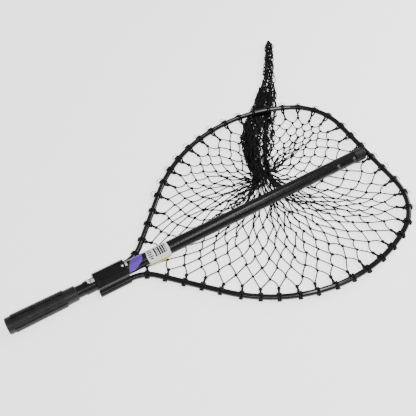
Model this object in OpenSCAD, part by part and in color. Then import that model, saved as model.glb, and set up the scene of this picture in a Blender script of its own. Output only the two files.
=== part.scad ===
// Landing net with a telescopic sliding handle, laid flat for storage.
// +X runs along the handle from the grip to the hoop tip, +Z is up.
// The origin is on the flat face under the yoke, below the handle and near its middle.

/* [Hoop] */
// Outside diameter of the hoop tube
hoop_d = 12; // [10:0.5:12]
// Wall of the hoop tube
hoop_wall = 1.2; // [0.8:0.1:1.6]
// Bend radius where each arm leaves the yoke
neck_r = 70; // [60:1:80]
// Turn of each arm away from the handle, in degrees
neck_turn = 46; // [40:1:50]
// Straight run of each arm
arm_len = 140; // [110:1:150]
// Bend radius of each long side
side_r = 345; // [320:1:370]
// Turn of each long side, in degrees
side_turn = 72.6; // [68:0.2:76]
// Bend radius of each front corner
corner_r = 125; // [105:1:130]
// Upward slope of the hoop away from the yoke, in degrees
hoop_rise = 1; // [0.6:0.1:1.2]

/* [Yoke] */
// Length of the yoke along the handle
yoke_len = 66.5; // [64:0.5:70]
// Sideways distance from the handle to each hoop socket
socket_y = 19; // [19:0.2:20]
// Outside radius of each hoop socket
socket_r = 7.8; // [7.8:0.1:8.4]
// Drop of the hoop sockets below the handle axis
socket_drop = 12.2; // [12.2:0.1:13]
// Width of the flat top
top_w = 25; // [24.6:0.2:26]
// Height of the flat top above the handle axis
top_h = 17.5; // [17.5:0.1:18.5]

/* [Handle] */
// Outside diameter of the outer tube
outer_d = 28.6; // [28.6:0.1:28.8]
// Wall of the outer tube
outer_wall = 1.5; // [1.2:0.05:1.6]
// Wall of the inner tube
inner_wall = 1.25; // [1:0.05:1.6]
// Reach of the outer tube beyond the middle of the yoke
outer_reach = 638; // [630:1:640]
// Travel of the outer tube through the yoke
outer_travel = 574; // [560:1:575]
// Length of the grip
grip_len = 141; // [138:1:146]
// Diameter over the raised grip panels, at the end of the grip
grip_d = 38.2; // [37.4:0.2:39]
// Number of wide grip panels, with as many narrow ones between them
grip_pairs = 3; // [2:1:4]
// Pitch of the serrations across the grip panels
rib_pitch = 3.9; // [3.5:0.1:4.5]

/* [Net] */
// Number of lacing loops around the hoop
loop_count = 44; // [36:2:52]
// Thickness of the bundle of twine in one lacing loop
twine_d = 1.6; // [1.2:0.1:1.8]
// Thickness of the netting where it lies flat inside the hoop
funnel_t = 2.5; // [2:0.1:3]

/* [Hidden] */
$fn = 64;
cut = 1;                 // how far a cutting solid runs past the face it cuts

axis_z = socket_drop + socket_r;
outer_r = outer_d / 2;
outer_bore_r = outer_r - outer_wall;
slide_gap = 0.1;         // radial running clearance of every sliding fit
inner_r = outer_bore_r - slide_gap;
inner_bore_r = inner_r - inner_wall;
yoke_x0 = -32;
yoke_x1 = yoke_x0 + yoke_len;

// Yoke section
bevel_w = 7;
bevel_h = 8;
waist_z = -2;            // where the flanks end, above the handle axis
bush_r = 15.3;
bush_len = 14;
bore_r = bush_r - 0.5;
guide_r = outer_r + slide_gap;
hoop_r = hoop_d / 2;
socket_bore_r = hoop_r + 0.05;
lap = 0.5;               // how far each run of the hoop laps into the next bend
lap_swell = 0.02;

// Keyway in the yoke that the rivet heads of the outer tube run through
rivet_angle = 46;        // from straight up, towards -Y
key_w = 9.6;
key_r = outer_r + 2.2;

// Lock leaf in its channel under the yoke's flat top
leaf_t = 0.8;
leaf_w = 7;
leaf_z = outer_r + 1;    // underside, above the handle axis
leaf_lip = 4.5;           // how far the leaf stands out of the yoke's front
channel_w = leaf_w + 1;
channel_h = leaf_z + leaf_t + 0.4;
hinge_x = yoke_x0 + 0.5;
pin_x = yoke_x0 - 8;
pin_r = 2;
pin_bite = 0.8;          // how deep the pin stands in the outer tube's wall when it is down
tab_lift = 8;            // how far the tab is lifted while the pin rides on the outer tube
hinge_gap = 0.2;
tab_flat_x = pin_x - 3;
tab_bend = 40;
tab_len = 6;
tab_end_x = tab_flat_x - tab_len * cos(tab_bend);
tab_round_r = 4.2;
leaf_rivet_x = yoke_x1 - 6;
leaf_rivet_r = 1.6;

// Fasteners
rivet_r = 2.4;
rivet_head_r = 4.3;
rivet_head_h = 1.5;
screw_r = 1.6;
screw_head_r = 3;
screw_head_h = 1.4;
screw_x = -8;

// Outer tube and what it holds
outer_x0 = yoke_x0 - 23;
cap_r = outer_r + 0.9;
cap_x0 = outer_reach - 23;
cap_end = outer_reach + 4;
cap_plug_x0 = outer_reach - 40;
cap_rivet_x = outer_reach - 30;
stop_rivet_x = outer_reach - 75;
stop_plug_len = 16;
lock_hole_r = pin_r + 0.4;

// Twist lock at the inner end of the inner tube
inner_x1 = stop_rivet_x - 48;
stud_flange_t = 3;
stud_r = 4;
sleeve_gap = 0.2;
sleeve_x0 = inner_x1 + stud_flange_t + sleeve_gap;
sleeve_len = 24;
sleeve_r = outer_bore_r - slide_gap;
cone_len = 14;
cone_travel = 2.5;
cone_small_r = 7;
cone_big_r = 10.5;
cone_gap = 0.4;          // left between cone and sleeve at full travel
cone_x1 = sleeve_x0 + sleeve_len + 4;
nut_t = 5;
stud_end = cone_x1 + 0.3 + nut_t;
plug_len = 24;

// Grip
grip_x1 = -71.5;
grip_x0 = grip_x1 - grip_len;
collar_r = 15.8;
collar_x0 = grip_x1 - 20;
body_r0 = 17.2;          // at the end of the grip
body_r1 = 16.1;          // next to the collar
panel_x0 = grip_x0 + 12;
panel_x1 = grip_x1 - 22;
panel_taper = 0.9;
wide_half = 22;          // half the angle that a wide panel spans, in degrees
narrow_half = 10;
inner_x0 = grip_x0 + 6;

// Hoop centreline in plan, one side: each row is [radius, turn], and a radius of 0 is a
// straight run whose second value is its length. Left turns are positive.
corner_turn = 90 + neck_turn - side_turn;
neck_x = yoke_x1 - 0.5;
hoop_side = [[neck_r, neck_turn], [0, arm_len], [side_r, -side_turn], [corner_r, -corner_turn]];

function hoop_level(x) = x * tan(hoop_rise);
function run_len(seg) = seg[0] == 0 ? seg[1] : seg[0] * abs(seg[1]) * PI / 180;
function step_along(p, seg, part) =
    seg[0] == 0
    ? [p[0] + seg[1] * part * cos(p[2]), p[1] + seg[1] * part * sin(p[2]), p[2]]
    : let (side = sign(seg[1]), turn = seg[1] * part)
      [p[0] + side * seg[0] * (sin(p[2] + turn) - sin(p[2])),
       p[1] - side * seg[0] * (cos(p[2] + turn) - cos(p[2])),
       p[2] + turn];
function start_of(i) = i == 0 ? [neck_x, socket_y, 0] : step_along(start_of(i - 1), hoop_side[i - 1], 1);
function point_at(s, i = 0) =
    i == len(hoop_side) ? [start_of(i)[0], start_of(i)[1] - s, -90]
    : s <= run_len(hoop_side[i]) ? step_along(start_of(i), hoop_side[i], s / run_len(hoop_side[i]))
    : point_at(s - run_len(hoop_side[i]), i + 1);
function total(i) = i < 0 ? 0 : total(i - 1) + run_len(hoop_side[i]);

side_len = total(len(hoop_side) - 1);
tip_half = start_of(len(hoop_side))[1];
tip_x = start_of(len(hoop_side))[0];
half_len = side_len + tip_half;

// Netting solids
funnel_inset = 9;        // from the hoop's centreline to the edge of the flat netting
funnel_s0 = 48;          // where the flat netting starts along each arm
funnel_step = 18;
tail_gap = 0.4;
tail_floor = funnel_t + tail_gap;
// Stations of the gathered bag: [x, y, half width, underside, top]
tail = [
    [404, 34, 13, tail_floor, 15],
    [418, 80, 22, tail_floor, 25],
    [440, 142, 36, tail_floor, 30],
    [474, 196, 36, tail_floor, 17],
    [505, 226, 31, tail_floor, 8],
    [527, 250, 29, tail_floor, 8],
    [556, 284, 22, 0, 15],
    [590, 326, 15, 0, 15],
    [640, 392, 13, 0, 14],
    [682, 446, 11, 0, 12]
];
tie_r = 7;
tie_x = 691;
tie_y = 459;

module on_axis(x) {
    translate([x, 0, axis_z]) rotate([0, 90, 0]) children();
}
module at_rivet(x) {
    translate([x, 0, axis_z]) rotate([rivet_angle, 0, 0]) children();
}
module along_hoop(s, side) {
    p = point_at(s);
    translate([0, 0, socket_r]) rotate([0, -hoop_rise, 0]) scale([1, side, 1])
        translate([p[0], p[1], 0]) rotate([0, 0, p[2]]) children();
}
module ring(outside, inside) {
    difference() {
        circle(r = outside);
        circle(r = inside);
    }
}

module yoke_outline() {
    half = top_w / 2;
    wide = half + bevel_w;
    polygon([
        [half, top_h], [wide, top_h - bevel_h], [wide, waist_z], [socket_y, waist_z - 5],
        [socket_y, -axis_z], [-socket_y, -axis_z], [-socket_y, waist_z - 5], [-wide, waist_z],
        [-wide, top_h - bevel_h], [-half, top_h]
    ]);
}
module lengthwise(x0, x1) {
    translate([x0, 0, axis_z]) rotate([90, 0, 90]) linear_extrude(x1 - x0) children();
}
module keyway_outline(half_w) {
    rotate(90 + rivet_angle) translate([0, -half_w]) square([key_r, 2 * half_w]);
}
module socket_bores() {
    for (side = [-1, 1])
        translate([yoke_x0, side * socket_y, socket_r + hoop_level(yoke_x0)])
            rotate([0, 90 - hoop_rise, 0]) translate([0, 0, -2])
                cylinder(h = yoke_len + 4, r = socket_bore_r);
}
module yoke() {
    color("#1b1b1c") difference() {
        union() {
            lengthwise(yoke_x0, yoke_x1) yoke_outline();
            for (side = [-1, 1]) translate([yoke_x0, side * socket_y, socket_r])
                rotate([0, 90, 0]) cylinder(h = yoke_len, r = socket_r);
        }
        on_axis(yoke_x0 - cut) cylinder(h = yoke_len + 2 * cut, r = bore_r);
        on_axis(yoke_x0 - cut) cylinder(h = bush_len + cut, r = bush_r);
        on_axis(yoke_x1 - bush_len) cylinder(h = bush_len + cut, r = bush_r);
        lengthwise(yoke_x0 - cut, yoke_x1 + cut) keyway_outline(key_w / 2);
        translate([yoke_x0 - cut, -channel_w / 2, axis_z])
            cube([yoke_len + 2 * cut, channel_w, channel_h]);
        translate([leaf_rivet_x, 0, axis_z]) cylinder(h = top_h + cut, r = leaf_rivet_r);
        socket_bores();
        for (side = [-1, 1]) translate([screw_x, side * socket_y, 0]) screw_solid(cut);
    }
}
module guide_bush(x0) {
    color("#2c2c2e") difference() {
        on_axis(x0) cylinder(h = bush_len, r = bush_r);
        on_axis(x0 - cut) cylinder(h = bush_len + 2 * cut, r = guide_r);
        translate([x0 - cut, -channel_w / 2, axis_z])
            cube([bush_len + 2 * cut, channel_w, bush_r + cut]);
        lengthwise(x0 - cut, x0 + bush_len + cut)
            polygon([[0, 0], [0, 20], [-20, 20], [-20, 5]]);
    }
}
module screw_solid(below) {
    translate([0, 0, -below]) cylinder(h = below + 0.2, r = screw_head_r);
    translate([0, 0, 0.2]) cylinder(h = screw_head_h, r1 = screw_head_r, r2 = screw_r);
    cylinder(h = 4, r = screw_r);
}
module hoop_screws() {
    color("#8d8f92") for (side = [-1, 1]) translate([screw_x, side * socket_y, 0])
        difference() {
            screw_solid(0);
            translate([0, 0, -cut]) cylinder(h = cut + 0.9, r = 1.1, $fn = 6);
        }
}

// Each bend is drawn slightly stouter than the run that laps into it, so that they join.
module hoop_section(swell) {
    ring(hoop_r + swell * lap_swell, hoop_r - hoop_wall - swell * lap_swell);
}
module hoop_straight(length) {
    rotate([90, 0, 90]) translate([0, 0, -lap]) linear_extrude(length + 2 * lap) hoop_section(0);
}
module hoop_bend(radius, turn, swell, lap_turn) {
    translate([0, sign(turn) * radius, 0]) rotate([0, 0, turn > 0 ? -90 : 90 + turn - lap_turn])
        rotate_extrude(angle = abs(turn) + lap_turn) translate([radius, 0]) hoop_section(swell);
}
module hoop_run(i) {
    p = start_of(i);
    seg = hoop_side[i];
    last = len(hoop_side) - 1;
    lap_turn = i == last - 1 ? lap / seg[0] * 180 / PI : 0;
    translate([p[0], p[1], 0]) rotate([0, 0, p[2]])
        if (seg[0] == 0) hoop_straight(seg[1]);
        else hoop_bend(seg[0], seg[1], i == last ? 2 : 1, lap_turn);
}
module hoop_half() {
    translate([yoke_x0 + 1, socket_y, 0]) hoop_straight(neck_x - yoke_x0 - 1);
    for (i = [0 : len(hoop_side) - 1]) hoop_run(i);
}
module hoop_tube() {
    color("#0d0d0e") difference() {
        translate([0, 0, socket_r]) rotate([0, -hoop_rise, 0]) {
            hoop_half();
            mirror([0, 1, 0]) hoop_half();
            translate([tip_x, tip_half, 0]) rotate([0, 0, -90]) hoop_straight(2 * tip_half);
        }
        for (side = [-1, 1]) translate([screw_x, side * socket_y, 0])
            cylinder(h = 5, r = screw_r);
    }
}

module lock_leaf() {
    color("#d9d9d6") difference() {
        translate([hinge_x, -leaf_w / 2, axis_z + leaf_z])
            cube([yoke_x1 + leaf_lip - hinge_x, leaf_w, leaf_t]);
        translate([leaf_rivet_x, 0, axis_z]) cylinder(h = 20, r = leaf_rivet_r);
    }
}
module leaf_rivet() {
    color("#e4e4e0") {
        translate([leaf_rivet_x, 0, axis_z + leaf_z]) cylinder(h = top_h - leaf_z, r = leaf_rivet_r);
        dome(leaf_rivet_x, top_h, 2.4, 1.1);
    }
}
module dome(x, z, r, h) {
    ball_r = (r * r + h * h) / (2 * h);
    translate([x, 0, axis_z + z]) intersection() {
        translate([0, 0, h - ball_r]) sphere(r = ball_r);
        cylinder(h = h + cut, r = r);
    }
}
module tab_profile() {
    inside = leaf_t * tan(tab_bend / 2);
    rise = tab_len * sin(tab_bend);
    back = tab_flat_x - tab_end_x;
    polygon([
        [hinge_x - hinge_gap, 0], [hinge_x - hinge_gap, leaf_t], [tab_flat_x + inside, leaf_t],
        [tab_flat_x - back + leaf_t * sin(tab_bend), rise + leaf_t * cos(tab_bend)],
        [tab_flat_x - back, rise], [tab_flat_x, 0]
    ]);
}
module lifted() {
    translate([hinge_x - hinge_gap / 2, 0, axis_z + leaf_z + leaf_t / 2]) rotate([0, tab_lift, 0])
        translate([hinge_gap / 2 - hinge_x, 0, -axis_z - leaf_z - leaf_t / 2]) children();
}
module lock_tab() {
    color("#d9d9d6") lifted() difference() {
        translate([0, leaf_w / 2, axis_z + leaf_z]) rotate([90, 0, 0])
            linear_extrude(leaf_w) tab_profile();
        difference() {
            translate([tab_end_x - cut, -leaf_w, axis_z + leaf_z - cut]) cube([4, 2 * leaf_w, 12]);
            translate([tab_end_x + tab_round_r, 0, axis_z]) cylinder(h = 40, r = tab_round_r);
        }
        translate([pin_x, 0, axis_z]) cylinder(h = leaf_z + leaf_t + cut, r = pin_r);
    }
}
module lock_pin() {
    tip = outer_r - pin_bite;
    color("#b9bbbd") lifted() {
        translate([pin_x, 0, axis_z + tip]) cylinder(h = leaf_z + leaf_t - tip, r = pin_r);
        translate([pin_x, 0, axis_z + leaf_z + leaf_t]) cylinder(h = 0.6, r1 = 2.8, r2 = 2.2);
    }
}

module tube(x0, x1, outside, inside) {
    difference() {
        on_axis(x0) cylinder(h = x1 - x0, r = outside);
        on_axis(x0 - cut) cylinder(h = x1 - x0 + 2 * cut, r = inside);
    }
}
module outer_tube() {
    color("#101011") difference() {
        tube(outer_x0, outer_reach, outer_r, outer_bore_r);
        for (x = [stop_rivet_x, cap_rivet_x]) at_rivet(x) cylinder(h = 20, r = rivet_r);
        for (slide = [0, outer_travel])
            translate([pin_x + slide, 0, axis_z]) cylinder(h = 20, r = lock_hole_r);
    }
}
module end_cap() {
    lip = 1.2;
    color("#1d1d1f") difference() {
        union() {
            on_axis(cap_x0) cylinder(h = cap_end - cap_x0 - lip, r = cap_r);
            on_axis(cap_end - lip) cylinder(h = lip, r1 = cap_r, r2 = cap_r - lip);
            on_axis(cap_plug_x0) cylinder(h = cap_x0 - cap_plug_x0, r = outer_bore_r);
        }
        difference() {
            on_axis(cap_x0 - cut) cylinder(h = outer_reach - cap_x0 + cut, r = outer_r);
            on_axis(cap_x0 - 2 * cut) cylinder(h = outer_reach - cap_x0 + 3 * cut, r = outer_bore_r);
        }
        on_axis(cap_plug_x0 - cut) cylinder(h = outer_reach - cap_plug_x0 + cut, r = 7);
        at_rivet(cap_rivet_x) cylinder(h = 20, r = rivet_r);
    }
}
module tube_rivet(x) {
    ball_r = (rivet_head_r * rivet_head_r + rivet_head_h * rivet_head_h) / (2 * rivet_head_h);
    color("#17171a") at_rivet(x) {
        translate([0, 0, 8]) cylinder(h = outer_r + 0.5 - 8, r = rivet_r);
        difference() {
            intersection() {
                translate([0, 0, outer_r + rivet_head_h - ball_r]) sphere(r = ball_r);
                cylinder(h = 20, r = rivet_head_r);
            }
            rotate([-rivet_angle, 0, 0]) rotate([0, 90, 0])
                cylinder(h = 20, r = outer_r, center = true);
        }
    }
}
module stop_plug() {
    color("#2a2a2c") difference() {
        on_axis(stop_rivet_x - stop_plug_len / 2) cylinder(h = stop_plug_len, r = outer_bore_r);
        on_axis(stop_rivet_x - stop_plug_len) cylinder(h = 2 * stop_plug_len, r = 6);
        at_rivet(stop_rivet_x) cylinder(h = 20, r = rivet_r);
    }
}

module expander_sleeve() {
    mouth_r = cone_big_r + cone_gap;
    color("#3a3a3c") difference() {
        on_axis(sleeve_x0) cylinder(h = sleeve_len, r = sleeve_r);
        on_axis(sleeve_x0 - cut) cylinder(h = sleeve_len + 2 * cut, r = cone_small_r - 2);
        on_axis(sleeve_x0 + sleeve_len - cone_len)
            cylinder(h = cone_len + 0.01, r1 = cone_small_r + cone_gap, r2 = mouth_r);
        translate([sleeve_x0 - cut, -sleeve_r - cut, axis_z - 1])
            cube([sleeve_len + 2 * cut, sleeve_r + cut, 2]);
    }
}
module cone_nut() {
    color("#c8c8c4") difference() {
        union() {
            on_axis(cone_x1 - cone_len - 1) cylinder(h = cone_len, r1 = cone_small_r, r2 = cone_big_r);
            on_axis(cone_x1 - 1) cylinder(h = 1, r = cone_big_r);
            translate([cone_x1 - cone_len - 1, -cone_big_r - 1.2, axis_z - 0.8])
                cube([cone_len + 1, 5, 1.6]);
        }
        on_axis(cone_x1 - cone_len - 2) cylinder(h = cone_len + 3, r = stud_r + slide_gap);
    }
}
module inner_tube() {
    color("#121213") tube(inner_x0, inner_x1, inner_r, inner_bore_r);
}
module stud_plug() {
    color("#2e2e31") difference() {
        union() {
            on_axis(inner_x1 - plug_len) cylinder(h = plug_len, r = inner_bore_r);
            on_axis(inner_x1) cylinder(h = stud_flange_t, r = inner_r - 0.1);
        }
        on_axis(inner_x1 - plug_len + 6) cylinder(h = plug_len + stud_flange_t, r = stud_r);
    }
}
module lock_stud() {
    color("#a5a8ab") on_axis(inner_x1 - plug_len + 6)
        cylinder(h = stud_end - inner_x1 + plug_len - 6, r = stud_r);
}
module stud_nut() {
    color("#a5a8ab") difference() {
        on_axis(cone_x1 + 0.3) cylinder(h = nut_t, r = 7.5, $fn = 6);
        on_axis(cone_x1) cylinder(h = nut_t + 1, r = stud_r);
    }
}

module grip_profile() {
    edge = 1.4;
    polygon([
        [grip_x0, inner_r], [grip_x0, body_r0 - edge], [grip_x0 + edge, body_r0],
        [collar_x0, body_r1], [collar_x0, collar_r],
        [grip_x1 - edge, collar_r], [grip_x1, collar_r - edge], [grip_x1, inner_r]
    ]);
}
function panel_r(x) = grip_d / 2 - panel_taper * (x - panel_x0) / (panel_x1 - panel_x0);
module rib_profile() {
    ribs = floor((panel_x1 - panel_x0) / rib_pitch);
    groove = 1;          // depth and width of a serration
    rows = [for (i = [0 : ribs - 1]) let (x = panel_x0 + i * rib_pitch, r = panel_r(x)) each
        [[x, r - groove], [x + groove / 2, r], [x + rib_pitch - groove, r],
         [x + rib_pitch - groove / 2, r - groove]]];
    polygon(concat([[panel_x0, collar_r - 1]], rows,
        [[panel_x0 + ribs * rib_pitch - groove / 2, collar_r - 1]]));
}
module turned() {
    translate([0, 0, axis_z]) rotate([0, 90, 0]) rotate_extrude() rotate(90) mirror([0, 1])
        children();
}
module panel_mask() {
    pitch = 180 / grip_pairs;
    reach = grip_d;
    lengthwise(panel_x0 - cut, panel_x1 + cut)
        for (i = [0 : 2 * grip_pairs - 1]) rotate(i * pitch) {
            half = i % 2 == 0 ? narrow_half : wide_half;
            polygon([[0, 0], [reach, -reach * tan(half)], [reach, reach * tan(half)]]);
        }
}
module grip() {
    color("#232324") {
        turned() grip_profile();
        difference() {
            intersection() {
                turned() rib_profile();
                panel_mask();
            }
            on_axis(grip_x0) cylinder(h = grip_len, r = collar_r - 0.5);
        }
    }
}
module grip_plug() {
    color("#19191a") {
        on_axis(grip_x0) cylinder(h = 6, r = inner_r);
        on_axis(grip_x0 + 6) cylinder(h = 12, r = inner_bore_r);
    }
}

module rim_lacing() {
    color("#141414") for (side = [-1, 1], i = [0 : loop_count / 2 - 1])
        along_hoop(14 + (half_len - 14) * (i + 0.5) / (loop_count / 2), side)
            rotate([0, 90, 0]) rotate_extrude() translate([hoop_r + 0.1 + twine_d / 2, 0])
                circle(d = twine_d, $fn = 24);
}
function inset_point(s) =
    let (p = point_at(s)) [p[0] + funnel_inset * sin(p[2]), p[1] - funnel_inset * cos(p[2])];
module net_funnel() {
    near = [for (s = [funnel_s0 : funnel_step : side_len]) inset_point(s)];
    far = [for (i = [len(near) - 1 : -1 : 0]) [near[i][0], -near[i][1]]];
    color("#1c1c1c") linear_extrude(funnel_t) polygon(concat(near, far));
}
module tail_slice(t) {
    mid = (t[3] + t[4]) / 2;
    tall = (t[4] - t[3]) / 2;
    translate([t[0], t[1], mid]) rotate([0, 0, -38]) scale([t[2], 4, tall])
        sphere(r = 1, $fn = 20);
}
module net_tail() {
    color("#181818") for (i = [0 : len(tail) - 2]) hull() {
        tail_slice(tail[i]);
        tail_slice(tail[i + 1]);
    }
}
module tail_tie() {
    color("#121212") translate([tie_x, tie_y, tie_r]) sphere(r = tie_r);
}

yoke();
guide_bush(yoke_x1 - bush_len);  // guide_bush_front
guide_bush(yoke_x0);  // guide_bush_rear
hoop_tube();
hoop_screws();
lock_leaf();
leaf_rivet();
lock_tab();
lock_pin();
outer_tube();
end_cap();
tube_rivet(cap_rivet_x);  // cap_rivet
stop_plug();
tube_rivet(stop_rivet_x);  // stop_rivet
expander_sleeve();
cone_nut();
inner_tube();
stud_plug();
lock_stud();
stud_nut();
grip();
grip_plug();
rim_lacing();
net_funnel();
net_tail();
tail_tie();
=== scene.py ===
import math

import bpy
import numpy as np
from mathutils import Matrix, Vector


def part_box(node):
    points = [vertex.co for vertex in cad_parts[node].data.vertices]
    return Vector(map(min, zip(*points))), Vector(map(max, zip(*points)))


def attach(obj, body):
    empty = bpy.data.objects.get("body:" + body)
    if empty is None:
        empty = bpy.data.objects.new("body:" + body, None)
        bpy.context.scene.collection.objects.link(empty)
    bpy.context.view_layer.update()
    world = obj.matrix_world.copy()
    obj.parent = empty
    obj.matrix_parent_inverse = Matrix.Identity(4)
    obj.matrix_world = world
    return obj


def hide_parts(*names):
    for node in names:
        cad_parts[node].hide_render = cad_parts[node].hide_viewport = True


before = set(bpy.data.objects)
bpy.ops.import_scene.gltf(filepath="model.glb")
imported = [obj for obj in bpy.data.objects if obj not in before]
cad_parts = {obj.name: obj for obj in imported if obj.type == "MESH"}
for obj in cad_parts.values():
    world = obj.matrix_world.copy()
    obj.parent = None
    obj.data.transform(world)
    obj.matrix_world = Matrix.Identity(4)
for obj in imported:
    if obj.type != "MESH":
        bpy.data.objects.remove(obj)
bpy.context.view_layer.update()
rng = np.random.default_rng(7)

UP = np.array([0.0, 0.0, 1.0])
FULL_TURN = 2 * math.pi


# ---------------------------------------------------------------- helpers

def mesh_object(name, points, faces, smooth=True):
    mesh = bpy.data.meshes.new(name)
    mesh.from_pydata([tuple(p) for p in points], [], [tuple(f) for f in faces])
    mesh.update()
    mesh.polygons.foreach_set("use_smooth", [smooth] * len(mesh.polygons))
    obj = bpy.data.objects.new(name, mesh)
    bpy.context.scene.collection.objects.link(obj)
    return obj


def unit(v):
    return v / max(np.linalg.norm(v), 1e-12)


def path_lengths(line):
    """The distance along the line from its start to each of its points."""
    return np.concatenate([[0], np.cumsum(np.linalg.norm(np.diff(line, axis=0), axis=1))])


def smooth_line(points, count):
    """A Catmull-Rom line through the points, with count samples."""
    p = np.asarray(points, float)
    p = np.concatenate([[2 * p[0] - p[1]], p, [2 * p[-1] - p[-2]]])
    out = []
    for t in np.linspace(0, len(p) - 3 - 1e-9, count):
        i = int(t)
        f = t - i
        a, b, c, d = p[i:i + 4]
        out.append(0.5 * (2 * b + (c - a) * f + (2 * a - 5 * b + 4 * c - d) * f * f
                          + (3 * b - a - 3 * c + d) * f ** 3))
    return np.array(out)


def bezier(a, b, c, d, count):
    t = np.linspace(0, 1, count)[:, None]
    return (1 - t) ** 3 * a + 3 * (1 - t) ** 2 * t * b + 3 * (1 - t) * t ** 2 * c + t ** 3 * d


def wobble(x, y, seed):
    """A smooth field from -1 to 1, with waves of a few centimetres."""
    value = 0.0
    for k in range(4):
        turn = seed * 1.7 + k * 2.1
        pitch = 16.0 * (1 + 0.55 * k)
        value += math.sin(pitch * (x * math.cos(turn) + y * math.sin(turn)) + turn * 3.1 + seed)
    return value / 4


class Batch:
    """Collects many small tubes and knots into one mesh. Each point keeps where it is round its
    strand and how far along it, as the attribute "twist", for the twine's twisted look."""

    def __init__(self):
        self.points, self.faces, self.twist, self.count = [], [], [], 0

    def add(self, points, faces, twist):
        self.points.append(points)
        self.twist.append(twist)
        self.faces += [tuple(self.count + i for i in f) for f in faces]
        self.count += len(points)

    def tube(self, line, radius, sides=6, closed=False):
        line = np.asarray(line, float)
        n = len(line)
        ahead = np.roll(line, -1, 0) - np.roll(line, 1, 0)
        if not closed:
            ahead[0], ahead[-1] = line[1] - line[0], line[-1] - line[-2]
        ahead /= np.maximum(np.linalg.norm(ahead, axis=1), 1e-12)[:, None]
        up = UP if abs(ahead[0][2]) < 0.9 else np.array([1.0, 0.0, 0.0])
        turn = np.arange(sides) / sides * FULL_TURN
        rings = []
        for i in range(n):
            side = unit(np.cross(ahead[i], up))
            up = unit(np.cross(side, ahead[i]))
            rings.append(line[i] + radius * (np.outer(np.cos(turn), side) + np.outer(np.sin(turn), up)))
        faces = []
        for i in range(n if closed else n - 1):
            k = (i + 1) % n
            for j in range(sides):
                m = (j + 1) % sides
                faces.append((i * sides + j, i * sides + m, k * sides + m, k * sides + j))
        if not closed:
            faces.append(tuple(range(sides))[::-1])
            faces.append(tuple((n - 1) * sides + j for j in range(sides)))
        twist = np.column_stack([np.tile(np.cos(turn), n), np.tile(np.sin(turn), n),
                                 np.repeat(path_lengths(line), sides)])
        self.add(np.concatenate(rings), faces, twist)

    def knot(self, place, along, across, size):
        """A small overhand knot: a lumpy body with wrapped turns that show as ridges."""
        along = unit(along)
        across = unit(across - np.dot(across, along) * along)
        normal = np.cross(along, across)
        rings, sides = 7, 8
        points, faces, twist = [], [], []
        for i in range(rings):
            v = i / (rings - 1) * 2 - 1
            r = math.sqrt(max(0.05, 1 - v * v)) * (1 + 0.16 * math.cos(3 * math.pi * v))
            for j in range(sides):
                a = FULL_TURN * (j + 0.35 * i) / sides
                girth = r * (0.95 * math.cos(a) * across + 0.72 * math.sin(a) * normal)
                points.append(place + size * (v * 0.95 * along + girth))
                twist.append((math.cos(a), math.sin(a), v * size))
        for i in range(rings - 1):
            for j in range(sides):
                m = (j + 1) % sides
                faces.append((i * sides + j, i * sides + m, (i + 1) * sides + m, (i + 1) * sides + j))
        faces.append(tuple(range(sides))[::-1])
        faces.append(tuple((rings - 1) * sides + j for j in range(sides)))
        self.add(np.array(points), faces, np.array(twist))

    def build(self, name):
        obj = mesh_object(name, np.concatenate(self.points), self.faces)
        obj.data.attributes.new("twist", "FLOAT_VECTOR", "POINT")
        obj.data.attributes["twist"].data.foreach_set("vector", np.concatenate(self.twist).ravel())
        return obj


# ---------------------------------------------------------------- camera

# Seen from the side away from the bag, about 54 degrees above the floor
aim = Vector((0.2547, 0.0491, 0.015))
eye = Vector((-0.1134, -0.5760, 1.0193))
cam_data = bpy.data.cameras.new("camera")
cam_data.lens = 49.3
cam_data.sensor_width = 36.0
camera = bpy.data.objects.new("camera", cam_data)
camera.location = eye
camera.rotation_euler = (aim - eye).to_track_quat("-Z", "Y").to_euler()
bpy.context.scene.collection.objects.link(camera)
bpy.context.scene.camera = camera


# ---------------------------------------------------------------- materials

class Shading:
    """One Principled material, and short ways to add nodes to it."""

    def __init__(self, name):
        self.material = bpy.data.materials.new(name)
        self.material.use_nodes = True
        self.tree = self.material.node_tree
        self.shader = self.tree.nodes["Principled BSDF"]
        self.place = self.tree.nodes.new("ShaderNodeTexCoord").outputs["Object"]

    def put(self, socket, value):
        """Sets an input to a constant, or links it to another node's output."""
        if isinstance(value, bpy.types.NodeSocket):
            self.tree.links.new(value, socket)
        else:
            socket.default_value = value

    def add(self, kind, inputs, **settings):
        made = self.tree.nodes.new("ShaderNode" + kind)
        for name, value in settings.items():
            setattr(made, name, value)
        for name, value in inputs.items():
            self.put(made.inputs[name], value)
        return made

    def noise(self, scale, detail=4.0, stretch=None):
        place = self.place
        if stretch:
            place = self.add("Mapping", {"Vector": place, "Scale": stretch}).outputs["Vector"]
        return self.add("TexNoise", {"Vector": place, "Scale": scale, "Detail": detail}).outputs["Fac"]

    def ramp(self, source, low, high, at=(0.35, 0.65)):
        made = self.add("ValToRGB", {"Fac": source})
        for element, position, colour in zip(made.color_ramp.elements, at, (low, high)):
            element.position = position
            element.color = (*colour, 1)
        return made.outputs["Color"]

    def bump(self, height, strength, distance, normal):
        made = self.add("Bump", {"Height": height, "Strength": strength, "Distance": distance})
        if normal:
            self.put(made.inputs["Normal"], normal)
        return made.outputs["Normal"]

    def calc(self, kind, *values):
        return self.add("Math", dict(enumerate(values)), operation=kind).outputs["Value"]

    def strand_wave(self, plies, pitch):
        """Plies that wind round a strand, from the attribute that Batch keeps."""
        where = self.add("Attribute", {}, attribute_name="twist").outputs["Vector"]
        split = self.add("SeparateXYZ", {"Vector": where}).outputs
        around = self.calc("MULTIPLY", self.calc("ARCTAN2", split["Y"], split["X"]), plies)
        along = self.calc("MULTIPLY", split["Z"], FULL_TURN / pitch)
        return self.calc("SINE", self.calc("ADD", around, along))


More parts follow.
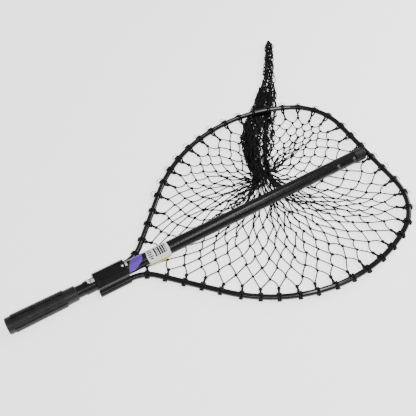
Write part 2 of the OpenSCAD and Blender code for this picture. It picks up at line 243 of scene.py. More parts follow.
def material(name, base, rough, metal=0.0, coat=0.0, spec=0.5, sheen=0.0, tint_to=None, tint_scale=60.0,
             rough_vary=0.0, bump=(), twist=None, edge=0.0, wear=None):
    """A material with cloudy changes of colour from base to tint_to, and of roughness.

    bump lists layers of (noise scale, strength, height, stretch); twist is (plies, pitch, height) for
    twine; edge is the radius that softens edges; wear is (share, colour, noise scale) of worn spots."""
    look = Shading(name)
    for socket, value in {"Metallic": metal, "Coat Weight": coat, "Coat Roughness": 0.05,
                          "Specular IOR Level": spec, "Sheen Weight": sheen, "Sheen Roughness": 0.4}.items():
        look.put(look.shader.inputs[socket], value)

    tint_to = tint_to or tuple(min(1.0, c * 1.5 + 0.002) for c in base)
    colour = look.ramp(look.noise(tint_scale), base, tint_to)
    if wear:
        share, worn, scale = wear
        spots = look.ramp(look.noise(scale, 8.0), (0, 0, 0), (1, 1, 1), (1 - share, 1 - share + 0.05))
        mix = look.add("Mix", {"Factor": spots, "A": colour, "B": (*worn, 1)}, data_type="RGBA")
        colour = mix.outputs["Result"]
    look.put(look.shader.inputs["Base Color"], colour)

    if rough_vary:
        low, high = max(0.02, rough - rough_vary), rough + rough_vary
        clouds = look.noise(tint_scale * 2.3)
        rough = look.add("MapRange", {"Value": clouds, "To Min": low, "To Max": high}).outputs["Result"]
    look.put(look.shader.inputs["Roughness"], rough)

    normal = look.add("Bevel", {"Radius": edge}, samples=4).outputs["Normal"] if edge else None
    for scale, strength, height, stretch in bump:
        normal = look.bump(look.noise(scale, 3.0, stretch), strength, height, normal)
    if twist:
        plies, pitch, height = twist
        normal = look.bump(look.strand_wave(plies, pitch), 0.9, height, normal)
    if normal:
        look.put(look.shader.inputs["Normal"], normal)
    return look.material


ALONG = (0.12, 1.0, 1.0)       # stretches a noise into lines along the handle

black_tube = material(
    "black_tube", (0.0045, 0.0045, 0.005), 0.23, spec=0.25, tint_to=(0.009, 0.0088, 0.009), rough_vary=0.03,
    bump=[(400, 0.03, 0.00002, ALONG)], wear=(0.15, (0.014, 0.014, 0.014), 60))
hoop_black = material(
    "hoop_black", (0.003, 0.003, 0.0034), 0.11, spec=0.42, tint_to=(0.007, 0.007, 0.0075), rough_vary=0.05,
    bump=[(500, 0.1, 0.00005, None)])
inner_black = material(
    "inner_black", (0.006, 0.006, 0.0065), 0.28, spec=0.25, rough_vary=0.06,
    bump=[(900, 0.15, 0.00004, ALONG)], wear=(0.3, (0.035, 0.035, 0.036), 120))
yoke_black = material(
    "yoke_black", (0.0035, 0.0035, 0.0037), 0.30, spec=0.28, tint_to=(0.009, 0.009, 0.0095), rough_vary=0.08,
    bump=[(1800, 0.25, 0.00006, None), (160, 0.08, 0.0002, None)], edge=0.0007)
cap_black = material(
    "cap_black", (0.008, 0.008, 0.0085), 0.42, spec=0.3, rough_vary=0.06,
    bump=[(1500, 0.2, 0.00005, None)], edge=0.0004)
bush_grey = material(
    "bush_grey", (0.03, 0.03, 0.032), 0.45, rough_vary=0.05, bump=[(1200, 0.15, 0.00004, None)])
grip_black = material(
    "grip_black", (0.009, 0.0088, 0.0085), 0.42, spec=0.35, tint_to=(0.018, 0.0175, 0.017), rough_vary=0.06,
    bump=[(2400, 0.35, 0.00008, None), (300, 0.15, 0.0002, None)], wear=(0.3, (0.032, 0.032, 0.032), 140))
nickel = material(
    "nickel", (0.90, 0.90, 0.89), 0.38, metal=0.30, tint_to=(0.96, 0.96, 0.95), rough_vary=0.07,
    bump=[(700, 0.15, 0.00004, (0.1, 1, 1))], edge=0.0002)
zinc = material(
    "zinc", (0.42, 0.42, 0.43), 0.35, metal=1.0, tint_to=(0.55, 0.55, 0.56), rough_vary=0.1,
    bump=[(900, 0.2, 0.00004, None)], edge=0.0002)
rivet_black = material(
    "rivet_black", (0.05, 0.05, 0.052), 0.30, metal=0.6, coat=0.3, rough_vary=0.05,
    bump=[(900, 0.15, 0.00004, None)], wear=(0.36, (0.22, 0.22, 0.22), 500))
cone_white = material(
    "cone_white", (0.55, 0.55, 0.52), 0.35, rough_vary=0.05, bump=[(900, 0.1, 0.00004, None)])
twine = material(
    "twine", (0.0025, 0.0025, 0.0026), 0.5, spec=0.14, sheen=0.02, tint_to=(0.009, 0.0088, 0.0085),
    tint_scale=300, rough_vary=0.1, bump=[(5000, 0.4, 0.0001, None)], twist=(3, 0.0032, 0.00018))
loop_twine = material(
    "loop_twine", (0.0025, 0.0025, 0.0026), 0.45, spec=0.18, sheen=0.02, tint_to=(0.011, 0.0107, 0.0104),
    tint_scale=300, rough_vary=0.1, bump=[(5000, 0.4, 0.0001, None)], twist=(3, 0.0045, 0.00025))
filament = material(
    "filament", (0.010, 0.010, 0.010), 0.4, spec=0.2, tint_to=(0.02, 0.02, 0.02), tint_scale=400,
    rough_vary=0.05, bump=[(4000, 0.2, 0.00003, None)])
violet = material(
    "violet_film", (0.115, 0.042, 0.40), 0.45, spec=0.3, tint_to=(0.135, 0.050, 0.45), tint_scale=25,
    rough_vary=0.05, bump=[(700, 0.06, 0.00003, None)])
label_white = material(
    "label_white", (0.94, 0.94, 0.93), 0.5, tint_to=(0.98, 0.98, 0.97), tint_scale=40, rough_vary=0.05,
    bump=[(900, 0.12, 0.00003, None), (70, 0.25, 0.0002, None)])
label_ink = material(
    "label_grey", (0.006, 0.006, 0.006), 0.5, tint_to=(0.012, 0.012, 0.012), tint_scale=900, rough_vary=0.05)
label_yellow = material(
    "label_yellow", (0.90, 0.72, 0.02), 0.4, tint_to=(0.95, 0.78, 0.05), rough_vary=0.05)
label_navy = material(
    "label_navy", (0.02, 0.03, 0.09), 0.45, tint_to=(0.03, 0.04, 0.12), rough_vary=0.05)

for node, mat in {
    "yoke": yoke_black, "guide_bush_front": bush_grey, "guide_bush_rear": bush_grey,
    "hoop_tube": hoop_black, "hoop_screws": zinc, "lock_leaf": nickel, "leaf_rivet": nickel,
    "lock_tab": nickel, "lock_pin": zinc, "outer_tube": black_tube, "end_cap": cap_black,
    "cap_rivet": rivet_black, "stop_plug": bush_grey, "stop_rivet": rivet_black,
    "expander_sleeve": bush_grey, "cone_nut": cone_white, "inner_tube": inner_black,
    "stud_plug": bush_grey, "lock_stud": zinc, "stud_nut": zinc, "grip": grip_black,
    "grip_plug": cap_black,
}.items():
    node_materials = bpy.data.objects[node].data.materials
    node_materials.clear()
    node_materials.append(mat)


# ---------------------------------------------------------------- places from the frame

inner_low, inner_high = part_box("inner_tube")
outer_low, outer_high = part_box("outer_tube")
AXIS_Z = inner_low[2] + (inner_high[2] - inner_low[2]) / 2      # height of the handle's centreline
TUBE_R = (outer_high[1] - outer_low[1]) / 2                     # radius of the handle's outer tube


# ---------------------------------------------------------------- the hoop's centreline

HOOP_R = 0.006                      # radius of the hoop's tube
RISE = math.radians(1.0)            # tilt of the hoop, up from the yoke to its tip
START = (0.034, 0.019)              # x and y where its +Y side starts in the yoke
HOOP_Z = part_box("hoop_tube")[0][2] + HOOP_R

# The +Y side from the yoke to the tip: an arc as (radius, degrees, positive to the left), or a
# straight stretch as (0, length). A straight stretch across the tip joins it to the -Y side.
SIDE = [(0.070, 46.0), (0.0, 0.140), (0.345, -72.6), (0.125, -63.4)]


def step_along(place, stretch, part):
    """Where that part of a stretch ends if it starts at place: x, y and heading."""
    x, y, turn = place
    radius, extent = stretch
    if radius == 0:
        return x + extent * part * math.cos(turn), y + extent * part * math.sin(turn), turn
    sweep = math.radians(extent) * part
    side = math.copysign(1, extent)
    return (x + side * radius * (math.sin(turn + sweep) - math.sin(turn)),
            y - side * radius * (math.cos(turn + sweep) - math.cos(turn)), turn + sweep)


def stretch_length(stretch):
    radius, extent = stretch
    return extent if radius == 0 else radius * math.radians(abs(extent))


corners = [(START[0], START[1], 0.0)]
for stretch in SIDE:
    corners.append(step_along(corners[-1], stretch, 1))
HALF_LEN = sum(stretch_length(stretch) for stretch in SIDE) + corners[-1][1]


def hoop_at(s):
    """A point on the centreline and its heading, s metres from the yoke round the +Y side and back
    along the -Y side."""
    far = s > HALF_LEN
    left = 2 * HALF_LEN - s if far else s
    for start, stretch in zip(corners, SIDE):
        length = stretch_length(stretch)
        if left <= length:
            x, y, turn = step_along(start, stretch, left / length)
            break
        left -= length
    else:
        x, y, turn = corners[-1][0], corners[-1][1] - left, -math.pi / 2
    z = HOOP_Z + x * math.sin(RISE)
    x *= math.cos(RISE)
    ahead = np.array([math.cos(turn), math.sin(turn), math.cos(turn) * math.sin(RISE)])
    if far:
        return np.array([x, -y, z]), ahead * (-1, 1, -1)
    return np.array([x, y, z]), ahead


# ---------------------------------------------------------------- netting from the hoop to the neck

COLUMNS = 44                        # meshes round the bag, each on its own lacing loop
ROWS = 17                           # rows of knots, enough for the longest column
BAR = 0.0300                        # length of twine between two knots
MAX_BOW = 0.0042                    # how far a loose bar bows sideways at most
TWINE_R = 0.00136
KNOT = 0.0034                       # half the length of a knot
KNOT_Z = 0.0027                     # lowest height of a knot's middle
TWINE_Z = 0.0009                    # lowest height of the twine's middle, pressed into the floor
TUBE_GAP = 0.0012                   # from the handle's underside to the twine's middle
FIRST = 0.014                       # length of hoop next to the yoke that has no loops
LOOP_SAG = 0.004                    # how far a loop's end is below the hoop's centreline
LIE_Z = 0.0030                      # height at which the netting lies, and how uneven that is
LIE_UNEVEN = 0.0012
SINK = 0.055                        # length over which it comes down from the loops
SWAY = 0.0045                       # how far a column strays sideways

# How far the lacing loops hang in from the hoop, by loop number
DROP_AT = [0, 2, 4, 9, 12, 20, 22, 43]
DROP = [0.017, 0.021, 0.026, 0.028, 0.034, 0.033, 0.022, 0.020]
# Where the netting draws together in folds before it runs on into the gathered bag: loop number, x, y
FOLD_AT, FOLD_X, FOLD_Y = np.transpose([
    (0, 0.352, 0.045), (2, 0.360, 0.055), (4, 0.370, 0.063), (6, 0.382, 0.069),
    (11, 0.403, 0.076), (13, 0.425, 0.078), (15, 0.450, 0.076), (19, 0.450, 0.074),
    (20.5, 0.457, 0.060), (22.5, 0.460, 0.020), (24, 0.458, 0.000), (26.5, 0.447, -0.022),
    (29, 0.435, -0.020), (32, 0.408, -0.020), (36, 0.374, -0.016), (38, 0.352, 0.002),
    (40, 0.340, 0.020), (42, 0.344, 0.034), (44, 0.352, 0.045)])
FOLD_SPREAD = 0.005                 # how far a fold lies from that line, to either side
# The neck, where all the columns come together: its middle, heading, half width, and height
NECK = np.array([0.409, 0.072])
NECK_AHEAD = unit(np.array([0.12, 1.0]))
NECK_SIDE = np.array([NECK_AHEAD[1], -NECK_AHEAD[0]])
NECK_HALF = 0.019
NECK_Z = 0.011
NECK_ROLL = 0.006                   # how much the height changes round the neck


def loop_s(u):
    """Where loop number u sits along the hoop."""
    step = (HALF_LEN - FIRST) / (COLUMNS / 2)
    if u <= COLUMNS / 2 - 0.5:
        return FIRST + step * (u + 0.5)
    return 2 * HALF_LEN - FIRST - step * (COLUMNS - u - 0.5)


def inward_of(ahead):
    """The level direction into the hoop, where its centreline heads ahead."""
    return unit(np.array([ahead[1], -ahead[0], 0.0]))


def rim_point(u):
    """Where column u leaves the hoop: the end of the loop, and the way the netting sets out."""
    u %= COLUMNS
    if u > COLUMNS - 1:
        a, b = rim_point(COLUMNS - 1), rim_point(0)
        f = u - (COLUMNS - 1)
        return a[0] * (1 - f) + b[0] * f, unit(a[1] * (1 - f) + b[1] * f)
    place, ahead = hoop_at(loop_s(u))
    inward = inward_of(ahead)
    drop = np.interp(u, DROP_AT, DROP) + 0.0025 * math.sin(u * 2.7)
    return place + drop * inward - LOOP_SAG * UP, inward


def under_tube(p):
    """Keeps a point of the netting above the floor, and below the handle on the hoop's side of the yoke."""
    if abs(p[1]) < TUBE_R + 0.002 and p[0] > 0.04:
        y = min(abs(p[1]), TUBE_R * 0.999)
        p[2] = min(p[2], AXIS_Z - math.sqrt(TUBE_R ** 2 - y * y) - TUBE_GAP)
    p[2] = max(p[2], TWINE_Z)
    return p


class Column:
    """One line of the netting from the hoop to the neck. Even ones start at a loop, and odd ones
    between two loops."""

    def __init__(self, k):
        u = k / 2
        start, inward = rim_point(u)
        rim = start[:2]
        self.rim_z = start[2]
        from_yoke = min(u, COLUMNS - u)
        self.calm = min(1.0, 0.1 + from_yoke / 5)       # little sway next to the yoke
        free = min(1.0, from_yoke / 8)                  # next to the yoke it heads for its fold at once

        fold = np.array([np.interp(u, FOLD_AT, FOLD_X), np.interp(u, FOLD_AT, FOLD_Y)])
        fold = fold + FOLD_SPREAD * np.array([math.sin(5.1 * u), math.cos(3.7 * u)])
        turn = FULL_TURN * u / COLUMNS
        edge = math.copysign(abs(math.cos(turn)) ** 0.6, math.cos(turn))
        neck = NECK - NECK_SIDE * NECK_HALF * edge
        self.neck_z = NECK_Z + NECK_ROLL * math.sin(3 * turn)

        # One curve from the rim to the fold and one on into the neck, with the same heading where they meet
        reach = np.linalg.norm(fold - rim)
        to_fold = unit(fold - rim)
        leave = unit(free * inward[:2] + 2.2 * (1 - free) * to_fold) * reach * (0.22 + 0.12 * free)
        depth = np.linalg.norm(neck - fold)
        arrive = unit(to_fold + 0.6 * (neck - fold) / (depth + 0.02))
        outer = bezier(rim, rim + leave, fold - arrive * reach * (0.48 - 0.18 * free), fold, 130)
        inner = bezier(fold, fold + arrive * depth * 0.45, neck - NECK_AHEAD * depth * 0.35, neck, 60)
        self.line = np.concatenate([outer, inner[1:]])
        self.along = path_lengths(self.line)
        self.fold_s = self.along[len(outer) - 1]
        self.length = self.along[-1]

    def xy(self, s):
        return np.array([np.interp(s, self.along, self.line[:, c]) for c in (0, 1)])

    def point(self, s):
        """The point s metres along, which sways a little, sinks to the floor and climbs into the neck."""
        s = min(s, self.length)
        x, y = self.xy(s)
        low = LIE_Z + LIE_UNEVEN * wobble(x, y, 3)
        z = low + (self.rim_z - low) * math.exp(-(s / SINK) ** 2)
        if s > self.fold_s:
            f = (s - self.fold_s) / (self.length - self.fold_s)
            z += (self.neck_z - z) * f * f
        # The sway starts at nothing on the rim, and dies down again towards the fold
        sway = SWAY * min(1.0, s / 0.05) * max(0.15, min(1.0, (self.fold_s - s) / 0.08)) * self.calm
        x, y = x + sway * wobble(x, y, 5), y + sway * wobble(x, y, 8)
        return under_tube(np.array([x, y, z]))


columns = [Column(k) for k in range(2 * COLUMNS)]


def column(k):
    return columns[k % len(columns)]


def mesh_slack(place, row):
    """How much of their full height the meshes keep here: the netting lies loose on the bag's side."""
    if place[1] < 0.03:                                 # near the handle, and beyond it
        return 0.97
    if place[0] < 0.45:                                 # the two thirds of the hoop next to the yoke
        return 0.78
    return 0.62 if row < 3 else 0.72


# How far along its column each knot is, row by row: a mesh is as tall as its width allows
rows = [np.zeros(len(columns))]
for row in range(1, ROWS):
    s = rows[-1]
    wide = np.array([np.linalg.norm(column(k + 1).xy(s[k]) - column(k - 1).xy(s[k]))
                     for k in range(len(columns))])
    slack = np.array([mesh_slack(column(k).xy(s[k]), row) for k in range(len(columns))])
    following = s + slack * np.sqrt(BAR ** 2 - (np.minimum(wide, 1.2 * BAR) / 2) ** 2)
    for _ in range(2):
        following = (np.roll(following, 1) + 2 * following + np.roll(following, -1)) / 4
    rows.append(following)

bag = Batch()


def bar(a, b, bow_dir, keep, sides=6, steps=6, radius=TWINE_R):
    """The twine from one knot to another. It bows as far as its spare length lets it, up to a limit,
    and keep moves each of its points clear of the floor and the handle."""
    chord = np.linalg.norm(b - a)
    spare = max(0.0, BAR / max(chord, 1e-6) - 1)
    rise = min(MAX_BOW, chord * min(0.16, math.sqrt(0.375 * spare))) if spare < 3 else 0.0
    t = np.linspace(0, 1, steps)
    line = a + np.outer(t, b - a) + np.outer(4 * t * (1 - t) * rise, bow_dir)
    bag.tube([keep(p) for p in line], radius, sides)


knots = {}
for i, row in enumerate(rows):
    for k in range(i % 2, len(columns), 2):
        if row[k] <= column(k).length + 0.4 * BAR:
            knots[i, k] = column(k).point(row[k])
            knots[i, k][2] = max(knots[i, k][2], KNOT_Z)
for (i, k), p in knots.items():
    s = rows[i][k]
    ahead = column(k).point(s + 0.004) - column(k).point(s - 0.004)
    side = column(k + 1).point(s) - column(k - 1).point(s)
    if np.linalg.norm(ahead) <= 1e-5:                   # past the column's end both points are one
        ahead = np.array([1.0, 0, 0])
    if i:                                               # the first row's knots belong to the loops
        bag.knot(p, ahead, side + 1e-6, KNOT * rng.uniform(0.85, 1.15))
    for d in (-1, 1):
        other = knots.get((i + 1, (k + d) % len(columns)))
        if other is None:
            continue
        across = unit(np.cross(other - p, UP))
        sign = wobble(p[0] * 1.3, p[1] * 1.3, 11 + d) + 0.35 * d
        bar(p, other, unit(across * sign * 1.2 - 0.25 * UP), under_tube)


# ---------------------------------------------------------------- the gathered bag

# Stations along the gathered bag: x, y, half width, underside, top
TAIL = np.array([
    [0.408, 0.060, 0.019, 0.0040, 0.018],
    [0.413, 0.084, 0.026, 0.0040, 0.026],
    [0.428, 0.116, 0.034, 0.0036, 0.031],
    [0.460, 0.166, 0.041, 0.0036, 0.027],
    [0.494, 0.205, 0.038, 0.0036, 0.014],
    [0.520, 0.231, 0.034, 0.0034, 0.0086],
    [0.548, 0.262, 0.028, 0.0025, 0.011],
    [0.580, 0.300, 0.021, 0.0012, 0.017],
    [0.614, 0.345, 0.0145, 0.0012, 0.017],
    [0.645, 0.389, 0.0115, 0.0012, 0.015],
    [0.670, 0.426, 0.0110, 0.0012, 0.014],
    [0.686, 0.450, 0.0085, 0.0012, 0.011]])
tail_line = smooth_line(TAIL, 240)
tail_s = path_lengths(tail_line[:, :2])
TAIL_LEN = tail_s[-1]
TAIL_ROWS = int(TAIL_LEN / 0.0262)          # rows of knots along it, 26 mm apart
TAIL_Z = 0.0023                             # lowest height of its twine's middle


def tail_at(s):
    """The station s metres along the gathered bag, its heading, and the way to its +X edge."""
    station = [np.interp(s, tail_s, tail_line[:, c]) for c in range(5)]
    ahead = [np.interp(min(s + 0.003, TAIL_LEN), tail_s, tail_line[:, c])
             - np.interp(max(s - 0.003, 0), tail_s, tail_line[:, c]) for c in (0, 1)]
    ahead = unit(np.array([ahead[0], ahead[1], 0.0]))
    return station, ahead, np.array([ahead[1], -ahead[0], 0.0])


def tail_point(s, angle, depth):
    """A point of the gathered bag: angle 0 is its +X edge, and depth 1 is on its outside."""
    (x, y, half, low, high), _, side = tail_at(s)
    c, sn = math.cos(angle), math.sin(angle)
    across = math.copysign(abs(c) ** 0.8, c) * half * depth
    up = math.copysign(abs(sn) ** 0.8, sn) * (high - low) / 2 * depth
    return np.array([x, y, (low + high) / 2]) + side * across + up * UP


def tail_keep(p):
    p[2] = max(p[2], TAIL_Z)
    return under_tube(p)


def near_row(i):
    """A place along the gathered bag, somewhere near row i."""
    return min(max((i + rng.uniform(-0.3, 0.3)) * TAIL_LEN / TAIL_ROWS, 0), TAIL_LEN)


def tail_bar(a, b, side):
    """Thinner twine with a loose bow to any side, for netting that is drawn together."""
    bow = unit(side * rng.normal(0, 1) + rng.normal(0, 0.4) * UP)
    bar(a, b, bow, tail_keep, sides=5, steps=5, radius=0.8 * TWINE_R)


def inner_fold(count, last_row):
    """Folds inside the bag, packed on its -X side, that close its mesh to the eye."""
    places = {}
    for k in range(count):
        for i in range(k % 2, last_row + 1, 2):
            (x, y, half, low, high), _, side = tail_at(near_row(i))
            across = half * (-0.90 + 1.05 * k / (count - 1) + rng.normal(0, 0.05))
            lift = (high - low) * 0.32 * math.sin(2.4 * k + 0.5 * i)
            places[i, k] = np.array([x, y, (low + high) / 2 + lift]) + side * across
    for (i, k), p in places.items():
        _, ahead, side = tail_at(i * TAIL_LEN / TAIL_ROWS)
        bag.knot(tail_keep(p), unit(ahead + rng.normal(0, 0.3, 3)), side, KNOT * rng.uniform(0.6, 0.8))
        for d in (-1, 1):
            other = places.get((i + 1, k + d))
            if other is not None:
                tail_bar(p, other, side)


phase = rng.uniform(0, FULL_TURN, 5)        # starts of the waves in a layer's folds and depth


def gathered_layer(count, crowd, first_row, last_row):
    """One layer of drawn-together netting round the bag, crowded towards its -X edge."""
    places = {}
    for k in range(count):
        base = FULL_TURN * k / count
        drift = 0.0
        for i in range(first_row, last_row + 1):
            drift = 0.75 * drift + rng.normal(0, 0.10)
            if (i - k) % 2:
                continue
            fold = (0.22 * math.sin(3 * base + phase[0] + 0.35 * i)
                    + 0.16 * math.sin(7 * base + phase[1] - 0.5 * i))
            layer = 0.78 + 0.22 * math.sin(5 * base + phase[2] + 0.3 * i)
            depth = min(1.0, layer * rng.uniform(0.72, 1.12)) * rng.uniform(0.95, 1.0)
            places[i, k] = tail_point(near_row(i), base + crowd * math.sin(base) + fold + drift, depth)
    for (i, k), p in places.items():
        _, ahead, side = tail_at(i * TAIL_LEN / TAIL_ROWS)
        bag.knot(tail_keep(p), unit(ahead + rng.normal(0, 0.3, 3)), side + rng.normal(0, 0.2, 3),
                 KNOT * rng.uniform(0.6, 0.85))
        for d in (-1, 1):
            other = places.get((i + 1, (k + d) % count))
            if other is not None:
                tail_bar(p, other, side)


THICK_ROWS = int(TAIL_ROWS * 0.66)          # the rows before the bag thins out
gathered_layer(2 * COLUMNS, 0.30, 0, THICK_ROWS)
gathered_layer(34, 0.20, THICK_ROWS - 1, TAIL_ROWS)
inner_fold(18, TAIL_ROWS * 3 // 5)
inner_fold(14, TAIL_ROWS // 2)
net_bag = bag.build("net_bag")
net_bag.data.materials.append(twine)
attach(net_bag, "head")
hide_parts("net_funnel", "net_tail")


# ---------------------------------------------------------------- the bag's end

# The last meshes are drawn into one knot of three turns, with the two ends of the drawing twine
TIE_AT = np.array([0.690, 0.458, 0.007])
TIE_STRANDS = 6
_, end_ahead, end_side = tail_at(TAIL_LEN)
tie = Batch()
for j in range(TIE_STRANDS):
    a = FULL_TURN * j / TIE_STRANDS
    start = tail_point(TAIL_LEN - 0.020, a, 0.8)
    bulge = (start + TIE_AT) / 2 + end_side * (0.003 + 0.0055 * math.cos(a)) + 0.004 * math.sin(a) * UP
    tie.tube([tail_keep(p) for p in smooth_line([start, bulge, TIE_AT], 13)], TWINE_R, 6)
for j, lean in enumerate((0.0, 1.1, 2.3)):
    flat = math.cos(lean) * end_side + math.sin(lean) * end_ahead
    ring = [TIE_AT + 0.0040 * math.cos(t) * flat + 0.0034 * math.sin(t) * UP + end_ahead * 0.001 * (j - 1)
            for t in np.linspace(0, FULL_TURN, 20, endpoint=False)]
    tie.tube(ring, 0.0012, 7, closed=True)
tie.knot(TIE_AT, end_side + 0.3 * end_ahead, end_ahead, 0.0042)
for lean in (-0.5, 0.7):
    out = TIE_AT + end_ahead * 0.004 + end_side * 0.004 * lean
    tip = out + end_side * 0.004 * lean - 0.003 * UP
    tie.tube([tail_keep(p) for p in smooth_line([TIE_AT, out, tip], 7)], 0.0009, 6)
bag_tie = tie.build("bag_tie")
bag_tie.data.materials.append(loop_twine)
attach(bag_tie, "head")
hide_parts("tail_tie")


# ---------------------------------------------------------------- loops that hang the bag on the hoop

LOOP_R = 0.00155
LOOP_SIDES = 7
FORK_KNOT = 0.0034
MESH_KNOT = 0.0042
WRAP_R = HOOP_R + LOOP_R + 0.0001           # from the hoop's centreline to the twine's, round the tube
RINGED = range(4, 27)                       # the loops that carry filament rings
RINGS = ((0.0078, 0.0), (0.0064, 0.0020))   # each ring's radius, and its place along the hoop
RING_WIRE_R = 0.00045
RING_CLEAR = HOOP_R + 0.0008                # a ring's twine stays this far from the hoop's centreline

loops = Batch()
rings = Batch()
for j in range(COLUMNS):
    place, ahead = hoop_at(loop_s(j))
    inward = inward_of(ahead)
    up = unit(np.cross(inward, ahead))
    up = up if up[2] > 0 else -up
    mesh_at = knots[0, 2 * j]
    spread = 0.0055 + 0.0015 * rng.uniform(-1, 1)
    slip = rng.uniform(-0.002, 0.002)

    # Two turns round the tube, a little apart, meet in a fork and run on to the first knot as one leg
    fork = place + ahead * slip + (mesh_at - place) * rng.uniform(0.42, 0.58)
    fork[2] -= 0.001
    for side in (-1, 1):
        wrap = []
        for t in np.linspace(-0.15 * math.pi, 1.35 * math.pi, 26):
            open_by = 0.35 + 0.65 * math.cos(min(t, math.pi / 2)) ** 2
            p = (place + ahead * (slip + side * (spread * open_by * 0.6 + 0.0006))
                 + WRAP_R * (math.cos(t) * inward + math.sin(t) * up))
            p[2] = max(p[2], LOOP_R + 0.0002)
            wrap.append(p)
        for foot in (wrap[0], wrap[-1]):
            middle = (foot + fork) / 2 + ahead * side * 0.0014 - 0.0008 * UP
            loops.tube([under_tube(p) for p in smooth_line([foot, middle, fork], 8)], LOOP_R, LOOP_SIDES)
        loops.tube(wrap, LOOP_R, LOOP_SIDES)
        leg = []
        for t in np.linspace(0, 1, 12):
            swing = 0.8 * LOOP_R * math.cos(9 * t) * UP + 0.8 * LOOP_R * math.sin(9 * t) * ahead
            leg.append(under_tube(fork + (mesh_at - fork) * t + side * swing))
        loops.tube(leg, LOOP_R, LOOP_SIDES)
    loops.knot(fork, inward, ahead, FORK_KNOT)

    # The turns cross on the outside of the tube, in three lumps
    outside = place - inward * (WRAP_R + 0.0004) + ahead * slip
    for shift in (-0.0028, 0.0, 0.0028):
        size = rng.uniform(0.0024, 0.0034) - 0.2 * abs(shift)
        loops.knot(outside + ahead * shift, ahead + 0.3 * up, up, size)
    loops.knot(mesh_at, inward, ahead, MESH_KNOT)

    centre = place - inward * (HOOP_R + rng.uniform(0.0015, 0.0040)) + ahead * slip + up * 0.001
    lean = rng.uniform(-0.4, 0.4)
    if j not in RINGED:
        continue
    for radius, shift in RINGS:
        ring = []
        for t in np.linspace(0, FULL_TURN, 32, endpoint=False):
            flat = math.cos(t) * ahead - math.sin(t) * (math.cos(lean) * inward - math.sin(lean) * up)
            p = centre + radius * flat + ahead * shift
            across, high = np.dot(p - place, inward), np.dot(p - place, up)
            if across ** 2 + high ** 2 < RING_CLEAR ** 2:       # where it crosses the tube it lies on top
                p = p + up * (math.sqrt(RING_CLEAR ** 2 - across ** 2) - high)
            ring.append(p)
        rings.tube(ring, RING_WIRE_R, 5, closed=True)

rim_loops = loops.build("rim_loops")
rim_loops.data.materials.append(loop_twine)
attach(rim_loops, "head")
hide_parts("rim_lacing")
rim_rings = rings.build("rim_rings")
rim_rings.data.materials.append(filament)
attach(rim_rings, "head")


# ---------------------------------------------------------------- labels on the outer tube

FILM_GAP = 0.00001                          # between the tube and a film's underside
FILM = 0.00006                              # thickness of the labels
INK = 0.00012                               # printing stands this high, just above the label
LABEL_X = 0.0812                            # the label's end next to the yoke
LABEL_END_X = 0.1300
TORN_V = -95                                # the angle where the label's torn edge starts


def tube_patch(name, angles, ends, mat, height=FILM, cells=(24, 28), rise=lambda v: 0.0):
    """A thin film on the outer tube, from one angle to another, in degrees from straight up and
    positive towards +Y. ends(v) gives its two ends in x at angle v, and rise(v) how far it stands off
    the tube there. cells are its faces along x and round the tube."""
    low, high = angles
    nx, nv = cells
    points, faces = [], []
    for layer in (0, 1):
        r = TUBE_R + FILM_GAP + height * layer
        for i in range(nx + 1):
            for j in range(nv + 1):
                v = low + (high - low) * j / nv
                x0, x1 = ends(v)
                x = x0 + (x1 - x0) * i / nx
                out = r + rise(v)
                points.append((x, out * math.sin(math.radians(v)), AXIS_Z + out * math.cos(math.radians(v))))
    size = (nx + 1) * (nv + 1)

    def at(layer, i, j):
        return layer * size + i * (nv + 1) + j

    for i in range(nx):
        for j in range(nv):
            faces.append((at(1, i, j), at(1, i + 1, j), at(1, i + 1, j + 1), at(1, i, j + 1)))
            faces.append((at(0, i, j), at(0, i, j + 1), at(0, i + 1, j + 1), at(0, i + 1, j)))
    for i in range(nx):
        for j in (0, nv):
            rim = (at(0, i, j), at(0, i + 1, j), at(1, i + 1, j), at(1, i, j))
            faces.append(rim if j == 0 else rim[::-1])
    for j in range(nv):
        for i in (0, nx):
            rim = (at(0, i, j), at(0, i, j + 1), at(1, i, j + 1), at(1, i, j))
            faces.append(rim[::-1] if i == 0 else rim)
    obj = mesh_object(name, points, faces)
    obj.data.materials.append(mat)
    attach(obj, "outer")


def between(x0, x1):
    """The same two ends at every angle."""
    return lambda v: (x0, x1)


def violet_ends(v):
    f = max(0, (30 - v) / 110)
    torn = max(0, (-8 - v) / 76)
    return 0.0495 - 0.013 * math.sin(f * math.pi / 2), 0.0735 - 0.007 * f ** 1.5 - 0.021 * torn ** 1.4


def label_ends(v):
    return 0.0810 + 0.001 * math.sin(v / 20), LABEL_END_X


def torn_ends(v):
    return LABEL_X - 0.0003 * (v - TORN_V), LABEL_END_X + 0.0006 * (v - TORN_V)


def lifted_end(v):
    """How far the label's lower end has come off the tube, by angle."""
    return 0.0046 * max(0.0, (-62 - v) / 46) ** 1.3


tube_patch("violet_band", (-80, 62), violet_ends, violet)
tube_patch("label", (-92, 74), label_ends, label_white, rise=lifted_end)
tube_patch("label_line", (TORN_V, -92), between(LABEL_X, LABEL_END_X), label_navy, cells=(12, 2),
           rise=lifted_end)
tube_patch("label_edge", (-111, TORN_V), torn_ends, label_yellow, cells=(12, 8), rise=lifted_end)

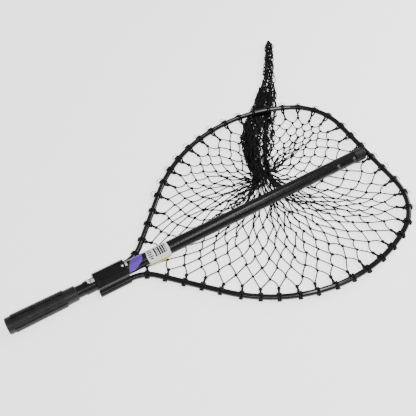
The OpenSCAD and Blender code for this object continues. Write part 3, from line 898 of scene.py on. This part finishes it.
# A pattern of bars, like a bar code that says nothing
bar_x = 0.098
bar_count = 0
while bar_x < 0.125:
    width = rng.choice([0.0016, 0.0024, 0.0036])
    tube_patch(f"label_bar_{bar_count:02d}", (-50, 34), between(bar_x, bar_x + width), label_ink,
               height=INK, cells=(1, 12))
    bar_x += width + rng.choice([0.0014, 0.0020])
    bar_count += 1

# Plain strokes in place of the printed lines: angle, and the two ends in x
RULES = ((40, 0.084, 0.094), (22, 0.084, 0.093), (4, 0.084, 0.094), (-14, 0.084, 0.092), (-32, 0.084, 0.094),
         (-50, 0.085, 0.092), (-70, 0.086, 0.122))
for n, (v, x0, x1) in enumerate(RULES):
    tube_patch(f"label_rule_{n}", (v - 5, v + 5), between(x0, x1), label_ink, height=INK, cells=(8, 3))


# ---------------------------------------------------------------- floor and light

floor = mesh_object("floor", [(-6, -6, 0), (6, -6, 0), (6, 6, 0), (-6, 6, 0)], [(0, 1, 2, 3)], smooth=False)
floor_white = bpy.data.materials.new("floor")
floor_white.use_nodes = True
floor_inputs = floor_white.node_tree.nodes["Principled BSDF"].inputs
for socket, value in {"Base Color": (0.9, 0.9, 0.9, 1), "Roughness": 0.8,
                      "Emission Color": (1, 1, 1, 1), "Emission Strength": 1.7}.items():
    floor_inputs[socket].default_value = value
floor.data.materials.append(floor_white)


def softbox(name, location, look_at, size, power):
    data = bpy.data.lights.new(name, "AREA")
    data.shape = "RECTANGLE"
    data.size, data.size_y = size
    data.energy = power
    obj = bpy.data.objects.new(name, data)
    obj.location = location
    obj.rotation_euler = (Vector(look_at) - Vector(location)).to_track_quat("-Z", "Y").to_euler()
    bpy.context.scene.collection.objects.link(obj)


world = bpy.data.worlds.new("world")
bpy.context.scene.world = world
world.use_nodes = True
background = world.node_tree.nodes["Background"]
background.inputs["Color"].default_value = (1, 1, 1, 1)
background.inputs["Strength"].default_value = 0.44
softbox("overhead", (0.72, -0.22, 1.25), (0.50, -0.12, 0), (1.1, 0.16), 9)
softbox("front", (0.30, -1.05, 1.50), (0.30, 0.0, 0), (1.9, 0.14), 13)
softbox("side", (1.9, 0.2, 0.9), (0.4, 0.0, 0), (0.9, 0.35), 14)
